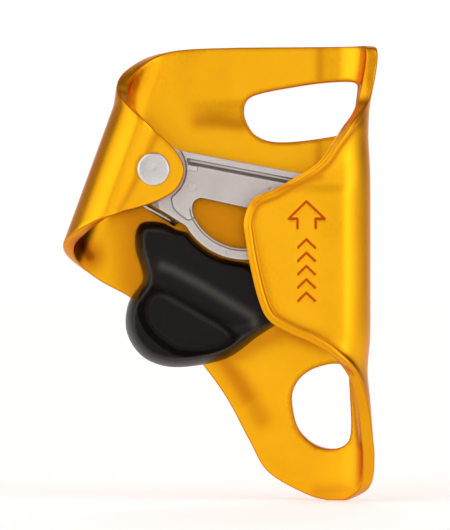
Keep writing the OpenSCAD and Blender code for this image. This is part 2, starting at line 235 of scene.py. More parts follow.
def plate_mesh(outline, holes, spacing, edge_r, extra):
    """Triangulates a plate's plan: rings for its rounded edges, a honeycomb between, and the extra points.
    Returns the points, their distance to the nearest edge, the triangles and the boundary's edges."""
    loops = [turned_left(evenly(outline, spacing * LOOP_SHARE))]
    loops += [turned_left(evenly(h, spacing * LOOP_SHARE))[::-1] for h in holes]
    rings, depth, links, start = [], [], [], 0
    for loop in loops:
        for s in EDGE_STEPS:
            ring = offset(loop, s * edge_r)
            n = len(ring)
            rings.append(ring)
            depth.append(np.full(n, s * edge_r))
            links += [(start + k, start + (k + 1) % n) for k in range(n)]
            start += n
    rings, depth = np.vstack(rings), np.concatenate(depth)

    def within(p, margin):
        return p[on_plate(p, loops) & (to_nearest(p, loops) > margin)]

    filler = honeycomb(outline.min(0), outline.max(0), spacing)
    free = within(filler, edge_r + spacing * FREE_MARGIN)
    extra = spread_out(within(extra, edge_r + EXTRA_MARGIN), EXTRA_GAP)
    free = spread_out(free, spacing * FREE_GAP, extra)
    flat, _, tris, origin, _, _ = geometry.delaunay_2d_cdt(
        [Vector(p) for p in np.vstack([rings, extra, free])], links, [], 0, 1e-5, True)
    flat = np.array([tuple(v) for v in flat])
    d = to_nearest(flat, loops)
    for i, src in enumerate(origin):
        if src and src[0] < len(rings):
            d[i] = depth[src[0]]
    tris = np.array(tris)
    tris = tris[on_plate(flat[tris].mean(1), loops)]
    a, b, c = (flat[tris[:, k]] for k in range(3))
    turn = (b[:, 0] - a[:, 0]) * (c[:, 1] - a[:, 1]) - (b[:, 1] - a[:, 1]) * (c[:, 0] - a[:, 0])
    tris[turn < 0] = tris[turn < 0][:, ::-1]
    edges = {}
    for t in tris:
        for k in range(3):
            e = (int(t[k]), int(t[(k + 1) % 3]))
            edges[e] = edges.get(e, 0) + 1
    border = [e for e in edges if (e[1], e[0]) not in edges]
    return flat, d, tris, border


def rounded(d, r):
    """How far a rounded edge has dropped away at distance d from the edge."""
    return r - np.sqrt(np.maximum(r * r - np.maximum(r - d, 0) ** 2, 0))


def closed_plate(front, back, tris, border):
    """Vertices and faces of a plate from the two skins over one triangulation, which is run anticlockwise."""
    n = len(front)
    faces = [tuple(int(k) for k in t) for t in tris]
    faces += [(int(t[2]) + n, int(t[1]) + n, int(t[0]) + n) for t in tris]
    faces += [(b, a, a + n, b + n) for a, b in border]
    return np.vstack([front, back]), faces


# ---------- solids ----------

def lathe(profile, at, segments=96):
    """A solid of revolution about the Y axis through at, from (radius, y) points.
    The profile starts and ends on the axis, or is closed."""
    verts, faces, first = [], [], []
    for r, y in profile:
        first.append(len(verts))
        if r == 0:
            verts.append((at[0], y, at[1]))
        else:
            a = np.linspace(0, 2 * math.pi, segments, endpoint=False)
            verts += list(zip(at[0] + r * np.cos(a), np.full(segments, y), at[1] + r * np.sin(a)))
    last = len(profile) - 1
    pairs = [(i, i + 1) for i in range(last)]
    if profile[0][0] != 0:
        pairs.append((last, 0))
    for i, j in pairs:
        for k in range(segments):
            m = (k + 1) % segments
            if profile[i][0] == 0:
                faces.append((first[i], first[j] + k, first[j] + m))
            elif profile[j][0] == 0:
                faces.append((first[i] + k, first[j], first[i] + m))
            else:
                faces.append((first[i] + k, first[j] + k, first[j] + m, first[i] + m))
    return np.array(verts, float), faces


def cylinder(r, y0, y1, at, segments=96):
    return lathe([(0, y0), (r, y0), (r, y1), (0, y1)], at, segments)


def rounded_profile(points, r, steps=4):
    """A lathe profile with each of its corners off the axis rounded to radius r."""
    p = [np.array(q, float) for q in points]
    closed = points[0][0] != 0
    out = []
    n = len(p)
    for i in range(n):
        if not closed and i in (0, n - 1):
            out.append(tuple(p[i]))
            continue
        a, b, c = p[i - 1], p[i], p[(i + 1) % n]
        u, v = a - b, c - b
        lu, lv = np.linalg.norm(u), np.linalg.norm(v)
        cut = min(r, lu * 0.45, lv * 0.45)
        s, e = b + u / lu * cut, b + v / lv * cut
        for k in range(steps + 1):
            t = k / steps
            out.append(tuple((1 - t) ** 2 * s + 2 * t * (1 - t) * b + t * t * e))
    return out


def skinned(sections, sides):
    """A closed solid through round sections, each with its centre, radius and two directions across."""
    verts = [centre + r * (math.cos(w) * a + math.sin(w) * b) for centre, r, a, b in sections
             for w in (2 * math.pi * k / sides for k in range(sides))]
    n = len(sections)
    faces = [tuple(range(sides))[::-1], tuple((n - 1) * sides + k for k in range(sides))]
    for i in range(n - 1):
        for k in range(sides):
            m = (k + 1) % sides
            faces.append((i * sides + k, i * sides + m, (i + 1) * sides + m, (i + 1) * sides + k))
    return np.array(verts), faces


DOME = [(0.3, 0.55), (0.8, 0.2)]  # a wire's end: shares of its radius, and of the way back from its tip


def sweep(path, r, sides=14):
    """A round wire along a smooth path, with domed ends."""
    p = np.array(path, float)
    t = unit(np.gradient(p, axis=0))
    rows = [(p[0] + t[0] * r * (back - 1), t[0], r * share) for share, back in DOME]
    rows += [(q, along, r) for q, along in zip(p, t)]
    rows += [(p[-1] - t[-1] * r * (back - 1), t[-1], r * share) for share, back in reversed(DOME)]
    a = np.cross(t[0], [0.3, 1, 0.2])
    sections = []
    for centre, along, radius in rows:
        a = a - (a @ along) * along
        a /= np.linalg.norm(a)
        sections.append((centre, radius, a, np.cross(along, a)))
    return skinned(sections, sides)


def box(lo, hi):
    x, y, z = zip(lo, hi)
    verts = [(x[i], y[j], z[k]) for i in (0, 1) for j in (0, 1) for k in (0, 1)]
    faces = [(0, 1, 3, 2), (4, 6, 7, 5), (0, 4, 5, 1), (2, 3, 7, 6), (0, 2, 6, 4), (1, 5, 7, 3)]
    return np.array(verts, float), faces


def prism(points, y0, y1):
    """A plan shape given depth from y0 to y1."""
    p = turned_left(np.array(points, float))
    n = len(p)
    front = lifted(p, y0)
    back = front + [0, y1 - y0, 0]
    faces = [tuple(range(n)), tuple(range(2 * n - 1, n - 1, -1))]
    faces += [(k, k + n, (k + 1) % n + n, (k + 1) % n) for k in range(n)]
    return np.vstack([front, back]), faces


def joined(shapes):
    """Several shapes as one."""
    verts, faces, count = [], [], 0
    for v, f in shapes:
        verts.append(v)
        faces += [tuple(i + count for i in face) for face in f]
        count += len(v)
    return np.vstack(verts), faces


def spun(shape, angle, centre):
    """Turns a shape's vertices about the Y axis; a positive angle is clockwise from the front."""
    verts, faces = shape
    a = math.radians(angle)
    v = verts - centre
    out = np.stack([v[:, 0] * math.cos(a) + v[:, 2] * math.sin(a), v[:, 1],
                    -v[:, 0] * math.sin(a) + v[:, 2] * math.cos(a)], -1)
    return out + centre, faces


def link(name, data):
    """An object for the data, in the scene."""
    obj = bpy.data.objects.new(name, data)
    bpy.context.scene.collection.objects.link(obj)
    return obj


def surface_mesh(name, shape):
    verts, faces = shape
    mesh = bpy.data.meshes.new(name)
    mesh.from_pydata((np.array(verts) * MM).tolist(), [], [tuple(f) for f in faces])
    return mesh


def solid(name, shape, attributes=()):
    """A Blender object from a shape in millimetres, its faces turned outwards."""
    mesh = surface_mesh(name, shape)
    mesh.validate()
    for key, values in attributes:
        mesh.attributes.new(key, "FLOAT", "POINT").data.foreach_set("value", np.array(values, np.float32))
    if volume(mesh) < 0:
        mesh.flip_normals()
    return link(name, mesh)


def volume(mesh):
    mesh.calc_loop_triangles()
    co = np.array([v.co for v in mesh.vertices])
    tri = np.array([t.vertices for t in mesh.loop_triangles])
    a, b, c = co[tri[:, 0]], co[tri[:, 1]], co[tri[:, 2]]
    return np.einsum("ij,ij->i", a, np.cross(b, c)).sum() / 6


def carve(obj, tools, how="DIFFERENCE"):
    """Cuts the tools out of obj, or joins them to it, and keeps the result as its mesh."""
    for shape in tools:
        tool = solid("tool", shape)
        mod = obj.modifiers.new("carve", "BOOLEAN")
        mod.operation, mod.object, mod.solver = how, tool, "EXACT"
        graph = bpy.context.evaluated_depsgraph_get()
        made = bpy.data.meshes.new_from_object(obj.evaluated_get(graph))
        obj.modifiers.clear()
        obj.data = made
        bpy.data.objects.remove(tool)
    return obj


def wear(obj, reach=0.5):
    """Stores how strongly each point lies on an outward edge, as the attribute "wear"."""
    mesh = obj.data
    n = len(mesh.vertices)
    co, no = np.empty(n * 3), np.empty(n * 3)
    mesh.vertices.foreach_get("co", co)
    mesh.vertices.foreach_get("normal", no)
    co, no = co.reshape(-1, 3) / MM, no.reshape(-1, 3)
    e = np.array([tuple(x.vertices) for x in mesh.edges])
    d = co[e[:, 1]] - co[e[:, 0]]
    length = np.maximum(np.linalg.norm(d, axis=1), 0.05)
    bend = np.clip(((no[e[:, 1]] - no[e[:, 0]]) * d).sum(1) / length**2, -4, 4)
    count = np.maximum(np.bincount(e.ravel(), minlength=n), 1)
    value = (np.bincount(e[:, 0], bend, n) + np.bincount(e[:, 1], bend, n)) / count
    for _ in range(2):
        near = np.bincount(e[:, 0], value[e[:, 1]], n) + np.bincount(e[:, 1], value[e[:, 0]], n)
        value = 0.5 * value + 0.5 * near / count
    value = np.clip(value * reach, 0, 1)
    layer = mesh.attributes.get("wear") or mesh.attributes.new("wear", "FLOAT", "POINT")
    layer.data.foreach_set("value", value.astype(np.float32))


def place(obj, material, body, nodes, crease=35):
    """Finishes a piece: shading, wear, material, and what it rides on and stands for."""
    mesh = obj.data
    mesh.materials.clear()
    mesh.materials.append(material)
    mesh.polygons.foreach_set("use_smooth", [True] * len(mesh.polygons))
    mesh.set_sharp_from_angle(angle=math.radians(crease))
    wear(obj)
    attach(obj, body)
    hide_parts(*nodes)


# ---------- materials ----------

class Nodes:
    """A node tree with helpers that add nodes to it."""

    def __init__(self, owner):
        owner.use_nodes = True
        self.tree = owner.node_tree

    def node(self, kind, links=(), **settings):
        made = self.tree.nodes.new(kind)
        for key, value in settings.items():
            setattr(made, key, value)
        for socket, source in links:
            self.put(made.inputs[socket], source)
        return made

    def put(self, socket, source):
        if isinstance(source, bpy.types.NodeSocket):
            self.tree.links.new(source, socket)
        else:
            socket.default_value = source


class Material(Nodes):
    """A procedural material: a Principled shader with helpers for its inputs."""

    def __init__(self, name, **constants):
        self.material = bpy.data.materials.new(name)
        super().__init__(self.material)
        self.shader = next(n for n in self.tree.nodes if n.type == "BSDF_PRINCIPLED")
        for socket, value in constants.items():
            self.shader.inputs[socket.replace("_", " ")].default_value = value
        self.coords = self.tree.nodes.new("ShaderNodeTexCoord").outputs["Object"]

    def noise(self, size_mm, detail=2.0):
        """Noise whose grains are about size_mm across, from 0 to 1."""
        made = self.node("ShaderNodeTexNoise", [("Vector", self.coords), ("Scale", 1 / (size_mm * MM)),
                                                ("Detail", detail), ("Roughness", 0.55)])
        return made.outputs["Fac"]

    def cloud(self, size_mm, detail=2.0, lo=0.3, hi=0.7):
        """Noise spread over the whole of 0 to 1."""
        return self.span(self.noise(size_mm, detail), lo, hi, 0, 1)

    def attribute(self, name):
        return self.node("ShaderNodeAttribute", attribute_name=name).outputs["Fac"]

    def span(self, value, lo, hi, to_lo, to_hi):
        made = self.node("ShaderNodeMapRange", [("Value", value), ("From Min", lo), ("From Max", hi),
                                                ("To Min", to_lo), ("To Max", to_hi)])
        return made.outputs["Result"]

    def add(self, a, b, share=1.0):
        made = self.node("ShaderNodeMath", [(0, b), (1, share), (2, a)], operation="MULTIPLY_ADD")
        return made.outputs[0]

    def mix(self, share, a, b):
        made = self.node("ShaderNodeMix", [("Factor", share), ("A", a), ("B", b)], data_type="RGBA")
        return made.outputs["Result"]

    def toned(self, colour, value, lo, hi, most, tone):
        """The colour, turned into the tone by up to most as the value goes from lo to hi."""
        return self.mix(self.span(value, lo, hi, 0, most), colour, rgb(*tone))

    def set(self, colour, roughness, height=None, depth_mm=0.02, strength=0.5):
        self.put(self.shader.inputs["Base Color"], colour)
        self.put(self.shader.inputs["Roughness"], roughness)
        if height is not None:
            bump = self.node("ShaderNodeBump", [("Height", height), ("Distance", depth_mm * MM),
                                                ("Strength", strength)])
            self.put(self.shader.inputs["Normal"], bump.outputs["Normal"])
        return self.material


def rgb(r, g, b):
    return (r, g, b, 1.0)


def anodised():
    m = Material("gold_anodised", Metallic=1.0, Coat_Weight=0.03, Coat_Roughness=0.2)
    cloud, speck, shade = m.cloud(14, 3, 0.35, 0.65), m.cloud(0.45), m.attribute("shade")
    colour = m.mix(cloud, rgb(0.84, 0.405, 0.003), rgb(0.89, 0.450, 0.005))
    colour = m.toned(colour, speck, 0, 1, 0.25, (0.98, 0.47, 0.03))
    # Painted shade from the shade attribute: orange-brown, and near black where it is strongest
    colour = m.toned(colour, shade, 0, 1, 0.85, (0.42, 0.075, 0.002))
    colour = m.toned(colour, shade, 0.82, 1, 0.6, (0.10, 0.018, 0.001))
    # Painted shade: a deeper orange where the surface is seen slanting, towards the outlines
    facing = m.node("ShaderNodeLayerWeight", [("Blend", 0.5)]).outputs["Facing"]
    colour = m.toned(colour, facing, 0.3, 0.85, 0.85, (0.60, 0.150, 0.003))
    colour = m.mix(m.attribute("ink"), colour, rgb(0.50, 0.070, 0.004))
    roughness = m.add(m.span(cloud, 0, 1, 0.27, 0.31), speck, 0.06)
    return m.set(colour, roughness, m.add(m.noise(0.22), m.noise(1.6), 0.8), 0.012, 0.5)


def cast_steel():
    m = Material("satin_steel", Metallic=1.0)
    cloud, grain = m.cloud(7, 3), m.noise(0.18, 3)
    colour = m.mix(cloud, rgb(0.51, 0.492, 0.478), rgb(0.59, 0.572, 0.558))
    colour = m.toned(colour, grain, 0.35, 0.7, 0.35, (0.41, 0.392, 0.378))
    colour = m.toned(colour, m.attribute("wear"), 0.1, 0.8, 0.7, (0.78, 0.76, 0.75))
    roughness = m.add(m.span(cloud, 0, 1, 0.34, 0.42), grain, 0.08)
    return m.set(colour, roughness, m.add(grain, m.noise(0.9), 0.6), 0.02, 0.5)


def turned_steel(name, tint, lines_mm, rough):
    """Lathe-turned steel: fine rings about the axle."""
    m = Material(name, Metallic=1.0, Anisotropic=0.75)
    tangent = m.node("ShaderNodeTangent", direction_type="RADIAL", axis="Y")
    m.put(m.shader.inputs["Tangent"], tangent.outputs[0])
    cloud = m.cloud(2.5)
    colour = m.mix(cloud, rgb(*[0.92 * c for c in tint]), rgb(*tint))
    colour = m.toned(colour, m.attribute("wear"), 0.1, 0.8, 0.6, (0.9, 0.9, 0.9))
    to_axle = (-AXLE[0] * MM, 0, -AXLE[1] * MM)
    moved = m.node("ShaderNodeVectorMath", [(0, m.coords), (1, to_axle)], operation="ADD")
    flat = m.node("ShaderNodeVectorMath", [(0, moved.outputs[0]), (1, (1, 0, 1))], operation="MULTIPLY")
    radius = m.node("ShaderNodeVectorMath", [(0, flat.outputs[0])], operation="LENGTH").outputs["Value"]
    rings = m.node("ShaderNodeTexNoise", [("W", radius), ("Scale", 1 / (lines_mm * MM)), ("Detail", 2.0)],
                   noise_dimensions="1D").outputs["Fac"]
    return m.set(colour, m.add(m.span(cloud, 0, 1, rough, rough + 0.06), rings, 0.06), rings, 0.02, 0.5)


def spring_steel():
    m = Material("spring_wire", Metallic=1.0)
    grain = m.noise(0.12, 3)
    colour = m.mix(m.cloud(3), rgb(0.42, 0.40, 0.38), rgb(0.55, 0.53, 0.51))
    return m.set(colour, m.span(grain, 0.3, 0.7, 0.22, 0.36), grain, 0.01, 0.4)


def moulded_plastic():
    m = Material("black_moulded_plastic", Specular_IOR_Level=0.13)
    cloud, grain = m.cloud(6, 3), m.noise(0.14)
    colour = m.mix(cloud, rgb(0.0040, 0.0035, 0.0028), rgb(0.0060, 0.0054, 0.0045))
    colour = m.toned(colour, m.attribute("wear"), 0.2, 0.9, 0.5, (0.018, 0.017, 0.016))
    # Painted highlight on the catch's ridge, rim and the dish floor's outline
    colour = m.mix(m.attribute("painted_highlight"), colour, rgb(0.070, 0.065, 0.061))
    roughness = m.add(m.span(cloud, 0, 1, 0.27, 0.32), grain, 0.06)
    return m.set(colour, roughness, m.add(grain, m.noise(0.5), 0.5), 0.02, 0.45)


GOLD = anodised()
CAM_STEEL = cast_steel()
BRIGHT_STEEL = turned_steel("turned_steel", (0.60, 0.595, 0.59), 0.16, 0.2)
WASHER_STEEL = turned_steel("washer_steel", (0.66, 0.65, 0.63), 0.3, 0.3)
SPRING_STEEL = spring_steel()
PLASTIC = moulded_plastic()


# ---------- the folded sheet ----------

LEAD_ANGLE = math.radians(8)
LEAD_LEN = 8.0
LEAD_R = LEAD_LEN / LEAD_ANGLE
NOSE_R = (HALF_DEPTH - LEAD_R * (1 - math.cos(LEAD_ANGLE))) / math.cos(LEAD_ANGLE)
NOSE_LEN = NOSE_R * (math.pi - 2 * LEAD_ANGLE)
FOLD_START = HALF_DEPTH - LEAD_R * math.sin(LEAD_ANGLE) - NOSE_R * (1 - math.sin(LEAD_ANGLE))
LEAN = math.radians(20.1)
FOOT = np.array([-53.65, -5.6])
ACROSS = np.array([-math.cos(LEAN), math.sin(LEAN)])
ALONG = np.array([math.sin(LEAN), math.cos(LEAN)])
FOLD_LEN = math.pi * HALF_DEPTH
FLANGE_AT = 2 * FOLD_START + 2 * LEAD_LEN + NOSE_LEN
TOP_LEAN = 1.8
TAIL_LEAN = 4.5
LIP_RISE = 0.7
LIP_WIDTH = 4.5
BEAD_RISE = 0.35
FLANGE_STEP = 0.3
SEAT_DROP = 1.0
ROUND_EDGE = 0.45


def channel(p):
    """(x, y) of the rope channel's middle surface at flat distance p."""
    a = p - FOLD_START
    b = a - LEAD_LEN
    c = b - NOSE_LEN
    t1 = np.clip(a, 0, LEAD_LEN) / LEAD_R
    t2 = LEAD_ANGLE + np.clip(b, 0, NOSE_LEN) / NOSE_R
    e = np.clip(LEAD_LEN - c, 0, LEAD_LEN) / LEAD_R
    x = np.where(a <= 0, p, np.where(
        b <= 0, FOLD_START + LEAD_R * np.sin(t1), np.where(
            c <= 0, HALF_DEPTH - NOSE_R * (1 - np.sin(t2)), np.where(
                c <= LEAD_LEN, FOLD_START + LEAD_R * np.sin(e), FOLD_START - (c - LEAD_LEN)))))
    y = np.where(a <= 0, HALF_DEPTH, np.where(
        b <= 0, HALF_DEPTH - LEAD_R * (1 - np.cos(t1)), np.where(
            c <= 0, NOSE_R * np.cos(t2), -HALF_DEPTH + LEAD_R * (1 - np.cos(e)))))
    return x, y


def lean_back(x, z):
    """How far the top of the plate and its tail lean to the back."""
    return (TOP_LEAN * ramp(z, 9.5, 18.5) * ramp(x, -42, -24)
            + TAIL_LEAN * (np.maximum(0, -z - 44) / 38) ** 1.6 * (1 - ramp(x, -22, 12)))


def bent(pq, edge):
    """The sheet's middle surface at flat points pq; edge is their distance to the flange's free edge."""
    p, q = pq[:, 0], pq[:, 1]
    u = (pq - FOOT) @ ACROSS
    v = (pq - FOOT) @ ALONG
    t = np.clip(u, 0, FOLD_LEN) / HALF_DEPTH
    past = np.maximum(u - FOLD_LEN, 0)
    l0 = HALF_DEPTH * np.sin(t) - past
    l1 = HALF_DEPTH * np.cos(t) + SEAT_DROP * ramp(u, FOLD_LEN - 1.4, FOLD_LEN + 2.8)
    l0 = l0 * np.where(l0 > 0, 1 + 0.14 * ramp(v, 19, 26), 1)
    flat = FOOT + v[:, None] * ALONG + l0[:, None] * ACROSS
    left = np.stack([flat[:, 0], l1 + lean_back(flat[:, 0], flat[:, 1]), flat[:, 1]], -1)
    x, y = channel(p)
    side = ramp(p, FOLD_START + 6, FOLD_START + 18) * (1 - ramp(p, 26, 34))
    flare = (1.9 * ramp(q, 14, 29.5) + np.clip((-q - 52) / 18.5, 0, 1) ** 2
             - 0.5 * (np.exp(-((q - 9) / 7) ** 2) + 1.4 * np.exp(-((q + 50) / 6) ** 2)))
    lip = LIP_RISE * np.maximum(0, 1 - edge / LIP_WIDTH) ** 2 * ramp(p, 15, 23)
    step = FLANGE_STEP * ramp(-q, 3.4, 6.4) * ramp(p, 17, 22)
    right = np.stack([x + side * flare, y - lip - step + lean_back(x, q), q], -1)
    return np.where((u > 0)[:, None], left, right)


LEFT_EDGE = [
    [-24, 31.1], [-41, 30], [-51.4, 25.4], [-56.8, 22.9], [-61.2, 21.1], [-70.9, 19.9], [-79.5, 19.4],
    [-84.6, 17], [-86.2, 12.2], [-84.6, 7], [-81.6, 2], [-78.4, -2.5], [-75.8, -8.5], [-73.6, -13.3],
    [-70.3, -18], [-65.9, -22.6], [-58.8, -27.8], [-51.1, -32.1], [-42, -39.3], [-34.5, -47],
    [-27.1, -57], [-21.2, -68], [-16.4, -75.9], [-6.7, -81.5], [-1.2, -83],
]
RIGHT_EDGE = [
    [8.8, 31.3], [10.8, 30.5], [12.1, 27.5], [12.8, 22], [14.1, 18], [16.7, 14.5], [20, 10.6],
    [22.9, 6.6], [27.3, 1.2], [37, -4.6], [43.2, -7.6], [45.4, -12.5], [45.1, -17], [43.9, -24],
    [41.8, -32.4], [39.3, -37.3], [34.2, -40.4], [29, -42.6], [23.3, -46], [17.6, -51.7],
    [14.3, -60], [12.6, -68.5], [11.4, -74.8], [8.4, -79.8], [3.3, -83],
]
UPPER_HOLE = [
    [-22.6, 15], [-21.6, 18], [-17.9, 19.6], [-10, 21.1], [-3.1, 22.1], [2.6, 22.4], [4.7, 21.6], [5.2, 19.5],
    [5.1, 12], [4, 9.7], [0.9, 8.8], [-8.6, 7.4], [-15.5, 7.3], [-19.8, 9], [-22, 12],
]
LOWER_HOLE = [
    [-10.5, -57.5], [-9.2, -53.2], [-6, -50.3], [-1.6, -48.8], [1.6, -48.7], [3.4, -49.6], [3.9, -52],
    [3.9, -58], [3.9, -64], [3.3, -67.8], [1.2, -69.8], [-2.4, -69.9], [-6, -68.2], [-9.2, -64.3],
]


def onto_flat(hole):
    """A hole's outline seen from the front, as it lies on the flat sheet."""
    p = np.linspace(-30, 11, 400)
    x, y = channel(p)
    seen = x + 0.5 * SHEET * np.gradient(y, p)
    out = spline(hole, 6, closed=True)
    return np.stack([np.interp(out[:, 0], seen, p), out[:, 1]], -1)


def tongue_point(xz):
    """The flat point that the left fold brings to (x, z) in front."""
    w = np.asarray(xz) - FOOT
    return FOOT + (w @ ALONG) * ALONG + (FOLD_LEN - w @ ACROSS) * ACROSS


# Generic marks pressed into the flange: an outlined arrow and a column of chevrons, as lines of (x, z)
ARROW = [[-9.5, -14.6], [-9.5, -12.3], [-11.6, -12.3], [-7.25, -8.0], [-2.75, -12.3], [-5.0, -12.3],
         [-5.0, -14.6]]
CHEVRONS = [[[-9.3, z - 2.0], [-7.25, z], [-5.2, z - 2.0]] for z in (-17.4, -20.7, -24.0, -27.3, -30.6)]
MARK_DEPTH = 0.2
MARK_HALF = 0.27

# Bands of painted shade and shadow where the sheet bends, under the cam and the catch and beside the flange:
# their line seen from the front, half width and strength
PLATE_SHADES = [
    ([[-19.5, -11], [-20, -20], [-18, -32]], 2.4, 0.9),
    ([[-27.5, -48], [-24, -53], [-21.5, -57]], 2.6, 0.7),
    ([[-21, -57], [-18.3, -62.5]], 2.6, 0.45),
    ([[-27, -48], [-19, -43.2], [-12, -40.5], [-2.5, -43.5]], 2.6, 0.55),
    ([[-4, -81], [3, -80.5]], 2.2, 0.4),
    ([[-3.5, 31], [-3.5, 21.5]], 1.1, 0.5),
    ([[-3.6, 8.5], [-3.9, 2]], 1.0, 0.45),
    ([[-34, 12.2], [-29, 12.6], [-23.5, 11.6]], 2.0, 0.5),
]
# Painted shadow inside the lower end of the left fold
FOLD_SHADES = [([[-66.5, -12], [-64.5, -17], [-61.5, -21.5]], 3.6, 1.0)]
# Painted shade along the tongue's crease and inside the flange's lip
TONGUE_SHADES = [
    ([[-43.5, 9.5], [-45, 7.2], [-48.2, 0], [-51.5, -6.6], [-53.5, -10]], 0.9, 0.5),
    ([[-20.4, -8.5], [-17, -5.4], [-10, -4], [-4, -1.7]], 1.3, 0.6),
]


def shaded(skin, bands, on):
    """The strongest of the painted shade bands at each point of one side of the sheet."""
    seen = skin[:, [0, 2]]
    share = [strength * np.exp(-(distance(seen, line, closed=False) / half_width) ** 2)
             for line, half_width, strength in bands]
    return np.max(share, axis=0) * on


HEAD_SEAT_R, WASHER_SEAT_R = HEAD_R + 0.2, 5.8
CREASE_AT = 1.6


def build_frame():
    right = spline(RIGHT_EDGE, 10)
    outline = np.vstack([spline(LEFT_EDGE, 10), right[::-1]])
    axle_holes = [arc(c, RIVET_R + 0.02, 0, 360, 40)[:-1] for c in (AXLE, tongue_point(AXLE))]
    holes = [onto_flat(UPPER_HOLE), onto_flat(LOWER_HOLE)] + axle_holes
    marks = [np.array([[FLANGE_AT - x, z] for x, z in line]) for line in [ARROW] + CHEVRONS]

    extra = [ring[(ring[:, 0] > 14) & (ring[:, 1] > -55)]
             for ring in echoes(outline, 0.45, (0.75, 1.0, 1.25, 1.5, 1.75, 2.0, 2.3, 2.7))]
    for line in marks:
        near = honeycomb(line.min(0) - 1, line.max(0) + 1, 0.15)
        extra.append(near[distance(near, line, closed=False) < 0.5])
    for centre in (AXLE, tongue_point(AXLE)):
        extra += [arc(centre, r + s, 0, 360, 90)[:-1]
                  for r in (HEAD_SEAT_R, WASHER_SEAT_R) for s in (-0.05, 0.05)]
    flat, d, tris, border = plate_mesh(outline, holes, 0.75, ROUND_EDGE, np.vstack(extra))

    lip_line = evenly(right, 0.3, closed=False)

    def surface(pq):
        return bent(pq, distance(pq, lip_line, closed=False))

    dp, dq = (surface(flat + e) - surface(flat - e) for e in np.eye(2) * 0.05)
    normal = unit(np.cross(dp, dq))
    half = SHEET / 2 - rounded(d, ROUND_EDGE)
    # A raised bead and a narrow crease along the flange's free edge, on its outer skin only
    to_lip = distance(flat, lip_line, closed=False)
    curled = ramp(flat[:, 0], 14, 19) * ramp(-flat[:, 1], -16, -8)
    bead = BEAD_RISE * (1 - ramp(to_lip, 0.8, 1.7)) * curled
    mark = to_nearest(flat, marks, closed=False)
    pressed = MARK_DEPTH * ramp(-mark, -MARK_HALF - 0.1, -MARK_HALF + 0.06)
    middle = surface(flat)
    front = middle + normal * half[:, None]
    back = middle - normal * (half - pressed + bead)[:, None]

    # Flat seats for the rivet's head and the washers
    for skin, sees in ((front, PLATE_IN), (front, TONGUE_IN), (back, TONGUE_OUT)):
        r = np.hypot(skin[:, 0] - AXLE[0], skin[:, 2] - AXLE[1])
        reach = HEAD_SEAT_R if sees == TONGUE_OUT else WASHER_SEAT_R
        near = (r < reach) & (np.abs(skin[:, 1] - sees) < 1.2)
        skin[near, 1] = sees

    ink = ramp(-mark, -MARK_HALF - 0.08, -MARK_HALF + 0.04)
    # Painted shade along the cut edges (partly the darker anodising of a cut edge) and round the two holes, and
    # in the crease beside the lip
    to_hole = to_nearest(flat, holes[:2])
    cut_edge = np.where(d < 0.15, 0.3 + 0.5 * ramp(d, 0, 0.12), 0.8 * (1 - ramp(d, 0.2, 0.4)))
    cut_edge = np.maximum(cut_edge, 0.75 * (1 - ramp(to_hole, 0.2, 1.1)))
    crease = 0.7 * np.exp(-((to_lip - CREASE_AT) / 0.7) ** 2) * curled
    # and painted shade in bands where the sheet bends, and painted shadow under the cam, beside the flange and
    # inside the left fold
    inner = np.maximum(cut_edge, shaded(front, PLATE_SHADES, front[:, 1] > 3))
    x, z = front[:, 0], front[:, 2]
    shadowed_zone = ramp(-z, 0, 5) * ramp(z, -38, -28) * ramp(-x, 4, 12) * ramp(x, -59, -50)
    inner = np.maximum(inner, 0.62 * shadowed_zone * (front[:, 1] > 3))
    inner = np.maximum(inner, shaded(front, FOLD_SHADES, front[:, 1] > -6))
    outer = np.maximum(crease, shaded(back, TONGUE_SHADES, back[:, 1] < -3))
    outer = np.maximum(cut_edge * (1 - 0.4 * curled), outer)
    obj = solid("folded_frame", closed_plate(front, back, tris, border), [
        ("ink", np.concatenate([np.zeros(len(flat)), ink])), ("shade", np.concatenate([inner, outer])),
    ])
    place(obj, GOLD, "frame", ["frame"])


# ---------- the cam ----------

FACE_TOP, FACE_BOTTOM = 7, 34
CAM_FRONT, WEB_FRONT, WEB_BACK = -4.0, -4.75, 1.6
NOSE_HALF = 3.5
LUG_HALF = 2.4
LUG_R = 4.2
TOOTH_ROWS = 9
TOOTH_H = 1.1
EDGE_R = 0.28
RECESS_R = 8.2
WINDOW_R = 14
BOW_R = 16.9
# The cam's straight top edge starts at (TOP_X, TOP_Z) and falls by TOP_SLOPE; the rim below it is RIM wide
TOP_X, TOP_Z, TOP_SLOPE, RIM = -38.9, 3.9, 0.1925, 0.9
GROOVE_TILT = math.radians(10.9)


def face_point(a, out=0.0):
    r = 47.6 + 4.6 * (a - FACE_TOP) / (FACE_BOTTOM - FACE_TOP) + out
    return AXLE + r * np.array([math.cos(math.radians(a)), -math.sin(math.radians(a))])


CAM_OUTLINE = np.vstack([
    arc(AXLE, 8.4, 262, 170, 30),
    arc(AXLE, 7.3, 130, 62, 20),
    [[-38.9, 4.85], [-8.4, -0.98], [-1.5, -2.3], [1, -3.4]],
    [face_point(a) for a in np.linspace(FACE_TOP, FACE_BOTTOM, 28)],
    [[-3.6, -30.6]],
    arc(PIVOT, LUG_R, 0, -165, 24),
    [[-15.6, -26.2]],
    arc(BOW_CENTRE, BOW_R, -78, -150, 30),
])
WINDOW = soften(np.vstack([
    [[-33.6, -7], [-13.5, -11.4], [-11.4, -12.8], [-11.2, -14.2]],
    arc(BOW_CENTRE, WINDOW_R, -40, -157, 40),
    [[-35.6, -9], [-34.9, -7.6]],
]), 0.55)
# The raised web: from the hub's recess along the window's top to the gripping nose
WEB = soften(np.vstack([
    arc(AXLE, RECESS_R, -58, 42, 40),
    [[-36, 9], [6, 3], [6, -12], [-10.5, -20], [-20, -13], [-33, -10.6], [-35.6, -12.2], [-36.6, -12.6],
     [-38.9, -10.9], [-40.2, -9.6]],
]), 0.45)
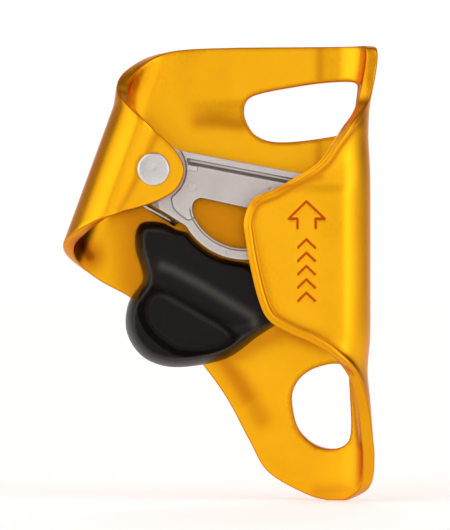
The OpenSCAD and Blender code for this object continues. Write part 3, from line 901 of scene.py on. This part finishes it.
# A short cast step beside the hub
STEP = soften([[-39.2, 1.7], [-34.2, 0.7], [-34.4, -0.6], [-36.6, -0.1], [-37, -0.5], [-39.2, -0.1]],
              0.15, 0.1)
# Fine grooves round the flush ends of the two pressed pins and a round mark: centre, radius and depth
FLUSH_RINGS = (
    (ANCHOR, ANCHOR_R - 0.05, 0.10),
    (POST, POST_R, 0.10),
    (np.array([-16.6, -4.3]), 0.9, 0.04),
)


def cam_front(xz):
    """Depth of the cam's front face."""
    x, z = xz.T
    web = signed(xz, WEB)
    y = CAM_FRONT + (WEB_FRONT - CAM_FRONT) * ramp(web, -0.12, 0.1)
    y += 0.10 * (1 - ramp(np.abs(web + 0.16), 0.0, 0.16))
    # The hub's face, in the recess under the tongue
    r = np.hypot(*(xz - AXLE).T)
    y = np.where((r < RECESS_R) & (y < HUB_FRONT), HUB_FRONT, y)
    # Ledge along the window's lower edge
    window = -signed(xz, WINDOW)
    below = ramp(-z - 0.25 * (x + 22), 12.0, 14.5)
    y += 0.55 * (1 - ramp(window, 0.5, 0.72)) * below * (x < -8)
    # Rim and groove under the top edge: across runs down from the edge, along runs to the right
    across = RIM - (z + TOP_SLOPE * (x - TOP_X) - TOP_Z) * math.cos(GROOVE_TILT)
    along = x + 36.6
    depth = 1.7 * ramp(across, 1.5, 1.75) * (1 - ramp(across, 2.2, 3.2)) * ramp(along, -0.4, 0.5)
    y += depth * (1 - ramp(x, 0, 3))
    # The step beside the hub, and the fine grooves
    y -= 0.22 * ramp(signed(xz, STEP), -0.1, 0.1)
    for centre, radius, deep in FLUSH_RINGS:
        ring = np.abs(np.hypot(*(xz - centre).T) - radius)
        y += deep * (1 - ramp(ring, 0.04, 0.16))
    # The nose is thinner where it enters the rope channel
    nose = -NOSE_HALF + (WEB_FRONT + NOSE_HALF) * ramp(-x, 7.0, 7.9)
    return np.where(x > -7.9, np.maximum(y, nose), y)


def cam_back(xz):
    """Depth of the cam's back face: the nose is thicker than the web."""
    return WEB_BACK + (NOSE_HALF - WEB_BACK) * ramp(xz[:, 0], -8.2, -7.4)


def build_cam():
    extra = echoes(WEB, 0.22, (-0.32, -0.16, -0.05, 0.08))
    extra += echoes(turned_left(WINDOW), 0.22, (-0.45, -0.6, -0.75)) + echoes(STEP, 0.22, (-0.1, 0.0, 0.1))
    for centre, radius, _ in FLUSH_RINGS:
        extra += [arc(centre, radius + s, 0, 360, 36)[:-1] for s in (-0.16, 0, 0.16)]
    t = np.linspace(-38.5, 3, 190)
    for s in (1.5, 1.62, 1.75, 2.0, 2.2, 2.5, 2.8, 3.1, 3.4):
        z = TOP_Z - TOP_SLOPE * (t - TOP_X) + (RIM - s) / math.cos(GROOVE_TILT)
        extra.append(np.stack([t, z], -1))
    extra += [np.stack([np.full(120, x), np.linspace(-36, 0, 120)], -1)
              for x in (-8.2, -7.9, -7.6, -7.4, -7.0)]
    bore_r = SLEEVE_R + RUN_GAP
    flat, d, tris, border = plate_mesh(soften(CAM_OUTLINE, 0.3), [WINDOW, arc(AXLE, bore_r, 0, 360, 60)[:-1]],
                                       0.55, EDGE_R, np.vstack(extra))
    drop = rounded(d, EDGE_R)
    front, back = lifted(flat, cam_front(flat) + drop), lifted(flat, cam_back(flat) - drop)
    obj = solid("cam_body", closed_plate(front, back, tris, border))

    hub = lathe([(bore_r, 0.2), (7.1, 0.2), (7.1, HUB_BACK - 0.3), (6.8, HUB_BACK), (bore_r + 0.3, HUB_BACK),
                 (bore_r, HUB_BACK - 0.3)], AXLE)
    carve(obj, [hub], "UNION")
    # Room for the spring's coil round the hub, and a way out for its ends to the left
    coil_back = HUB_FRONT + 0.15 + 3 * (CAM_WIRE + 0.08) + CAM_WIRE + 0.1
    r0, r1 = COIL_ROOM
    ring = lathe([(r0, -FAR), (r1, -FAR), (r1, coil_back), (r0, coil_back)], AXLE)
    plan = [AXLE + q for q in ([0, 0], [-14, 7], [-14, -14], [2, -14])]
    way_out = carve(solid("way_out", prism(plan, -FAR, coil_back)), [cylinder(r0, -30, 30, AXLE)])
    left_shape = (np.array([v.co for v in way_out.data.vertices]) / MM,
                  [tuple(p.vertices) for p in way_out.data.polygons])
    bpy.data.objects.remove(way_out)
    lug_cuts = [cylinder(LUG_R + 0.9, y, y + FAR - LUG_HALF, PIVOT) for y in (LUG_HALF, -FAR)]
    carve(obj, [ring, left_shape, *lug_cuts, cylinder(PIN_R + RUN_GAP, -FAR, FAR, PIVOT, 48)])
    # Teeth in two columns with a slot between them that lets mud out
    step = (FACE_BOTTOM - FACE_TOP - 5) / (TOOTH_ROWS - 1)
    teeth = [tooth(FACE_TOP + 2 + k * step, y)
             for k in range(TOOTH_ROWS) for y in ((-2.3, 2.3) if k % 2 else (-1.7, 1.7))]
    carve(obj, [joined(teeth)], "UNION")
    carve(obj, [box((1.5, -0.6, -24), (9.5, 0.6, -10))])
    place(obj, CAM_STEEL, "cam", ["cam"], crease=30)


def tooth(a, y):
    """One conical tooth with a rounded tip, leaning up the rope."""
    x, z = face_point(a, -0.5)
    lean = math.radians(a - 14)
    along = np.array([math.cos(lean), 0, -math.sin(lean)])
    side = np.array([0, 1, 0])
    up = np.cross(along, side)
    rows = [(0, 0.95), (0.45, 0.80), (TOOTH_H + 0.3, 0.22), (TOOTH_H + 0.44, 0.12)]
    return skinned([(np.array([x, y, z]) + along * s, r, side, up) for s, r in rows], 14)


# ---------- the safety catch ----------

CATCH_BACK, CATCH_FRONT = 5.2, -4.2
DISH_DEPTH = 4.5
DISH_FLOOR_RISE = 0.6
WALL_INSET = 2.2
POCKET_FLOOR, POCKET_R = 3.1, 2.8
CATCH_OUTLINE = np.vstack([
    [[-49.1, -13.6], [-47.8, -12.8], [-44.6, -12.8], [-42.6, -13.3], [-39.2, -15.1]],
    arc(BOW_CENTRE, 17.4, -146, -92, 30),
    [[-20, -24.1], [-16.9, -29.2]],
    arc(PIVOT, 3.9, 180, -75, 30),
    spline([
        [-8.6, -34.3], [-12.4, -37.4], [-19, -41.6], [-26.1, -46.8], [-33.6, -48.9], [-41, -49.4],
        [-46.6, -47.8], [-50, -44.8], [-52, -41], [-52.4, -37], [-51.5, -32.7], [-49.5, -29.9],
        [-48, -27.6], [-48.4, -24.6], [-49.8, -20], [-50, -16],
    ])[1:],
])
DISH = [
    [-46.0, -23.6], [-46.7, -25.9], [-47.2, -28.2], [-48.6, -30.5], [-49.2, -32.8], [-49.5, -35.4],
    [-49.0, -37.6], [-47.7, -40.2], [-45.7, -42.5], [-42.9, -44.8], [-40, -46.3], [-35.7, -47],
    [-31.4, -46.1], [-27.1, -44.5], [-22.8, -42.5], [-20.2, -40.5], [-19.2, -38.5], [-19.0, -36.8],
    [-21.3, -35.1], [-27.1, -31.6], [-32.8, -28.2], [-38.5, -24.7], [-42.6, -22.2], [-44.3, -21.3],
]
RIDGE = np.array([[-43, -24], [-40.5, -24.9], [-33.6, -28.6], [-27, -32.6], [-20.6, -36.5], [-19.9, -38.4]])
DISH_FLOOR = [
    [-44.9, -31.3], [-46.4, -32.5], [-47.1, -35], [-46.4, -38], [-44.4, -40.8], [-41.4, -43],
    [-38.6, -44.5], [-34.1, -44.8], [-29.9, -44.3], [-27.1, -43.3], [-26.1, -42], [-26.5, -40.8],
    [-28.5, -39.4], [-35.6, -35.3], [-42.6, -31.3],
]


def build_catch():
    outline = soften(CATCH_OUTLINE, 0.7)
    dish = soften(spline(DISH, 6, closed=True), 0.5)
    floor = soften(spline(DISH_FLOOR, 6, closed=True), 0.4)
    extra = echoes(outline, 0.35, (0.9, 1.3, 1.7, 2.0, 2.12, 2.22, 2.35, 2.5))
    extra += echoes(dish, 0.4, (-0.3, 0.0, 0.3, 0.6)) + echoes(floor, 0.4, (-0.5, 0.0, 0.4))
    flat, d, tris, border = plate_mesh(outline, [], 0.6, 0.5, np.vstack(extra))

    # Drafted outer wall, narrower along the cam's bow and at the hinge
    bow = np.hypot(*(flat - BOW_CENTRE).T)
    narrow = np.maximum(1 - ramp(bow, 19.2, 25.0), ramp(flat[:, 0], -24, -14))
    inset = WALL_INSET * (1 - 0.4 * narrow)
    # The edge that dips into the left fold as the cam opens is chamfered at the back
    tilt = flat[:, 0] + 50.4 + 0.0524 * (flat[:, 1] + 23)
    chamfer = 2.34 + np.maximum(tilt, 0.3) + 5 * ramp(-flat[:, 1], 27, 34) + 5 * ramp(flat[:, 0], -46, -40)
    start = np.minimum(CATCH_BACK - 0.6, chamfer - 0.5)
    tall = start - CATCH_FRONT
    curve = (tall**2 + inset**2) / (2 * inset)
    s = np.minimum(d, inset)
    y = start - np.sqrt(curve**2 - (curve - s) ** 2)
    # A crisp rim with a flat bead inside it, then the plateau a little lower
    y += 0.12 * (1 - ramp(np.abs(d - inset), 0.0, 0.18))
    bead_zone = (1 - ramp(d - inset, 0.9, 1.7)) * ramp(d - inset, -0.05, 0.3) * (1 - narrow)
    y -= 0.12 * bead_zone
    # Thumb dish
    in_dish, in_floor = signed(flat, dish), signed(flat, floor)
    to_floor, to_rim = np.maximum(-in_floor, 0), np.maximum(in_dish, 0)
    share = to_rim / np.maximum(to_floor + to_rim, 1e-6)
    fall = np.where(in_floor > 0, 1.0, np.where(in_dish > 0, share**1.5, 0))
    y = y + DISH_DEPTH * fall - DISH_FLOOR_RISE * ramp(in_floor, -0.5, 0.9)
    back = np.minimum(CATCH_BACK, chamfer) - rounded(d, 0.5)
    # Painted highlight, paler, along the ridge above the dish, its right end, the rim and the floor's outline
    ridge = distance(flat, RIDGE, closed=False)
    painted_highlight = 0.65 * np.exp(-(ridge / 1.1) ** 2) + 0.35 * np.exp(-((in_floor - 0.2) / 0.45) ** 2)
    painted_highlight = np.clip(painted_highlight + 0.5 * np.exp(-((d - inset - 0.1) / 0.22) ** 2) * (1 - narrow), 0, 1)
    rear = lifted(flat, np.maximum(back, y + 0.4))
    obj = solid("thumb_catch", closed_plate(lifted(flat, y), rear, tris, border),
                [("painted_highlight", np.concatenate([painted_highlight, np.zeros(len(flat))]))])

    gap = LUG_HALF + 0.2
    fork = box((-12.8, -gap, -45), (17.2, gap, -15))
    carve(obj, [fork, cylinder(LUG_R + 0.4, -gap, gap, PIVOT), cylinder(PIN_R, -FAR, FAR, PIVOT, 48),
                cylinder(POCKET_R, POCKET_FLOOR, FAR, PIVOT, 48)])
    # Slots that let the spring's two legs out of its pocket
    x, z = PIVOT
    for angle, side, length in ((196, 1, 8.2), (153.5, -1, 10)):
        middle = z + side * CATCH_COIL_R
        slot = box((x, POCKET_FLOOR, middle - 0.5), (x + length, POCKET_FLOOR + FAR, middle + 0.5))
        carve(obj, [spun(slot, -angle, np.array([x, 0, z]))])
    place(obj, PLASTIC, "catch", ["safety_catch"], crease=40)


# ---------- turned parts, pins and springs ----------

def coil(at, r, y0, pitch, a0, a1, steps):
    """Points of a coil round the Y axis through at, between two angles in degrees."""
    k = np.linspace(0, 1, steps + 1)
    a = np.radians(a0 + (a1 - a0) * k)
    return np.stack([at[0] + r * np.cos(a), y0 + pitch * (a1 - a0) * k / 360, at[1] + r * np.sin(a)], -1)


def build_small_parts():
    front, back = TONGUE_OUT, PLATE_OUT + WASHER_T
    head = front - HEAD_T
    rivet = rounded_profile([
        (0, head + 0.06), (0.5, head), (HEAD_R - 0.55, head), (HEAD_R - 0.03, head + 0.4),
        (HEAD_R, front - 0.1), (HEAD_R - 0.05, front), (RIVET_R, front), (RIVET_R, back), (4.0, back),
        (3.6, back + 0.8), (2.6, back + 1.2), (0.9, back + 1.25), (0, back + 1.1),
    ], 0.22)
    place(solid("rivet", lathe(rivet, AXLE, 128)), BRIGHT_STEEL, "frame", ["axle_rivet"])

    inner = SLEEVE_R + RUN_GAP
    for name, r0, r1, y0, y1, edge, node in (
            ("rear_washer_ring", RIVET_R, WASHER_R, PLATE_OUT, back, 0.14, "rear_washer"),
            ("axle_bush", RIVET_R, SLEEVE_R, TONGUE_IN, PLATE_IN, 0.2, "axle_sleeve"),
            ("front_thrust_ring", inner, THRUST_R, TONGUE_IN, TONGUE_IN + THRUST_T, 0.1, "front_thrust_washer"),
            ("rear_thrust_ring", inner, THRUST_R, PLATE_IN - THRUST_T, PLATE_IN, 0.1, "rear_thrust_washer")):
        profile = rounded_profile([(r0, y0), (r1, y0), (r1, y1), (r0, y1)], edge)
        place(solid(name, lathe(profile, AXLE)), WASHER_STEEL, "frame", [node])

    for name, at, r, y0, y1, body, node in (
            ("anchor_pin", ANCHOR, ANCHOR_R - 0.05, WEB_FRONT + 0.02, WEB_BACK + 2, "cam", "spring_anchor_pin"),
            ("spring_post", POST, POST_R, CAM_FRONT + 0.02, 5.4, "cam", "catch_spring_post"),
            ("pivot_pin", PIVOT, PIN_R, CATCH_FRONT, CATCH_BACK, "catch", "catch_pin")):
        profile = rounded_profile([(0, y0), (r, y0), (r, y1), (0, y1)], 0.16)
        place(solid(name, lathe(profile, at, 48)), BRIGHT_STEEL, body, [node])

    # The cam's spring: its short free leg, the coil, and the leg that runs behind the cam to the anchor pin
    y0 = HUB_FRONT + 0.15 + CAM_WIRE / 2
    y1 = WEB_BACK + CAM_WIRE / 2 + 0.1
    turns = coil(AXLE, CAM_COIL_R, y0, CAM_WIRE + 0.08, 282, 360 * 3 + 200, 26)
    y = turns[-1][1]
    path = spline(np.vstack([
        [[-54, y0, -7.7], [-49.8, y0, -7]], turns,
        [[-50.2, y, -4.8], [-49.4, y, -7.1], [-47.5, y, -8.8], [-44.2, y, -10.8], [-41.6, y, -12.35],
         [-40.6, y + 1.3, -13.1], [-39.9, y1, -13.2], [-38.4, y1, -10.5], [-37.4, y1, -4.4]],
    ]), 5)
    place(solid("cam_torsion_spring", sweep(path, CAM_WIRE / 2)), SPRING_STEEL, "cam", ["cam_spring"])

    # The catch's spring: one leg bears on the catch, the other on the cam's post
    y0 = POCKET_FLOOR + 0.1 + CATCH_WIRE / 2
    turns = coil(PIVOT, CATCH_COIL_R, y0, CATCH_WIRE + 0.05, 286, 360 * 3 + 63.5, 48)
    y = turns[-1][1]
    path = spline(np.vstack([[[-16, y0, -34.6]], turns, [[-25.6, y, -19.9], [-27.4, y, -19]]]), 4)
    place(solid("catch_return_spring", sweep(path, CATCH_WIRE / 2, 12)), SPRING_STEEL, "catch",
          ["catch_spring"])


build_frame()
build_cam()
build_catch()
build_small_parts()


# ---------- floor, light and camera ----------

def stage_material(name, colour, glow):
    m = Material(name, Roughness=0.9)
    paint = m.mix(m.cloud(300), rgb(*[0.985 * c for c in colour]), rgb(*colour))
    m.shader.inputs["Emission Strength"].default_value = glow
    m.put(m.shader.inputs["Emission Color"], rgb(1, 1, 1))
    return m.set(paint, 0.9)


FLOOR_Z = -83.4
FLOOR_STEPS = 96


def build_stage():
    verts, faces = [(0, 0, FLOOR_Z)], []
    a = np.linspace(0, 2 * math.pi, FLOOR_STEPS, endpoint=False)
    for ring, r in enumerate((60, 150, 400, 1000, 2500, 6000)):
        verts += list(zip(r * np.cos(a), r * np.sin(a), np.full(FLOOR_STEPS, FLOOR_Z)))
        s = 1 + (ring - 1) * FLOOR_STEPS
        for k in range(FLOOR_STEPS):
            m = (k + 1) % FLOOR_STEPS
            outwards = (s + k, s + FLOOR_STEPS + k, s + FLOOR_STEPS + m, s + m)
            faces.append(outwards if ring else (0, 1 + k, 1 + m))
    floor = link("floor", surface_mesh("floor", (verts, faces)))
    floor.data.materials.append(stage_material("pale_floor", (0.88, 0.9, 0.92), 0.42))

    bpy.ops.mesh.primitive_uv_sphere_add(segments=48, ring_count=24, radius=7.0)
    dome = bpy.context.object
    dome.name = "backdrop"
    dome.data.materials.append(stage_material("pale_backdrop", (0.0, 0.0, 0.0), 1.0))
    for kind in ("diffuse", "glossy", "transmission", "shadow", "volume_scatter"):
        setattr(dome, "visible_" + kind, False)


# Brightness of the studio by the angle round from straight in front, and by the angle above the horizon
ROUND_LEVELS = [
    (-180, 1.7), (-160, 1.3), (-148, 0.75), (-110, 0.6), (-104, 0.3), (-95, 0.3), (-88, 1.3), (-62, 2.2),
    (-38, 2.1), (-24, 1.7), (-14, 1.0), (-9, 0.2), (-5, 0.4), (-2, 1.6), (4, 1.6), (8, 0.8), (18, 0.6),
    (27, 1.7), (38, 2.7), (50, 2.4), (64, 1.3), (84, 0.55), (100, 0.25), (114, 0.25), (128, 0.6),
    (148, 0.8), (160, 1.3), (180, 1.7),
]
HEIGHT_LEVELS = [(-90, 0.3), (-60, 0.45), (-32, 0.75), (-14, 1.0), (0, 1.05), (7, 1.0), (16, 0.66), (27, 0.6),
                 (42, 0.75), (58, 0.7), (70, 0.3), (90, 0.15)]


def build_light():
    """A studio all round: bright in front, brightest at the sides of the front, a dark gap just behind the
    sides, and a dimmer room behind with a lit backdrop in its middle."""
    scene = bpy.context.scene
    scene.world = bpy.data.worlds.new("studio")
    w = Nodes(scene.world)
    background = next(n for n in w.tree.nodes if n.type == "BACKGROUND")
    coords = w.node("ShaderNodeTexCoord").outputs["Generated"]
    split = w.node("ShaderNodeSeparateXYZ", [(0, coords)])

    def math_node(kind, *values):
        return w.node("ShaderNodeMath", enumerate(values), operation=kind).outputs[0]

    def levels(angle, low, high, stops):
        """Colour by an angle in radians, from stops of (degrees, brightness), and its white's brightness.
        The dimmer a stop is, the warmer its colour."""
        top = max(v for _, v in stops)
        share = math_node("DIVIDE", math_node("SUBTRACT", angle, math.radians(low)), math.radians(high - low))
        made = w.node("ShaderNodeValToRGB", [("Fac", share)])
        elements = made.color_ramp.elements
        for degrees, value in stops:
            at_end = {low: 0, high: -1}.get(degrees)
            element = elements.new((degrees - low) / (high - low)) if at_end is None else elements[at_end]
            dim = min(1.0, value)
            element.color = rgb(*[value / top * dim ** warmth for warmth in (0, 0.28, 0.42)])
        return made.outputs["Color"], top

    round_about = math_node("ARCTAN2", split.outputs["X"], math_node("MULTIPLY", split.outputs["Y"], -1.0))
    sides, sides_top = levels(round_about, -180, 180, ROUND_LEVELS)
    heights, heights_top = levels(math_node("ARCSINE", split.outputs["Z"]), -90, 90, HEIGHT_LEVELS)
    product = w.node("ShaderNodeVectorMath", [(0, sides), (1, heights)], operation="MULTIPLY")
    w.put(background.inputs["Color"], product.outputs[0])
    background.inputs["Strength"].default_value = sides_top * heights_top
    scene.view_settings.view_transform = "Standard"

    data = bpy.data.lights.new("key", "AREA")
    data.shape, data.size, data.energy = "DISK", 0.5, 0.4
    key = link("key", data)
    key.location = (-0.35, -0.75, 0.65)
    key.rotation_euler = (Vector((-0.0274, 0, -0.024)) - key.location).to_track_quat("-Z", "Y").to_euler()


def build_camera():
    """Straight from the front, with the object filling the picture as it does in the photograph."""
    data = bpy.data.cameras.new("camera")
    camera = link("camera", data)
    away, picture_height = 900, 132.5
    camera.location = Vector((-27.4, -away, -23.75)) * MM
    camera.rotation_euler = (math.pi / 2, 0, 0)
    data.lens = data.sensor_width * away / picture_height
    data.clip_start, data.clip_end = 0.01, 50
    bpy.context.scene.camera = camera


build_stage()
build_light()
build_camera()
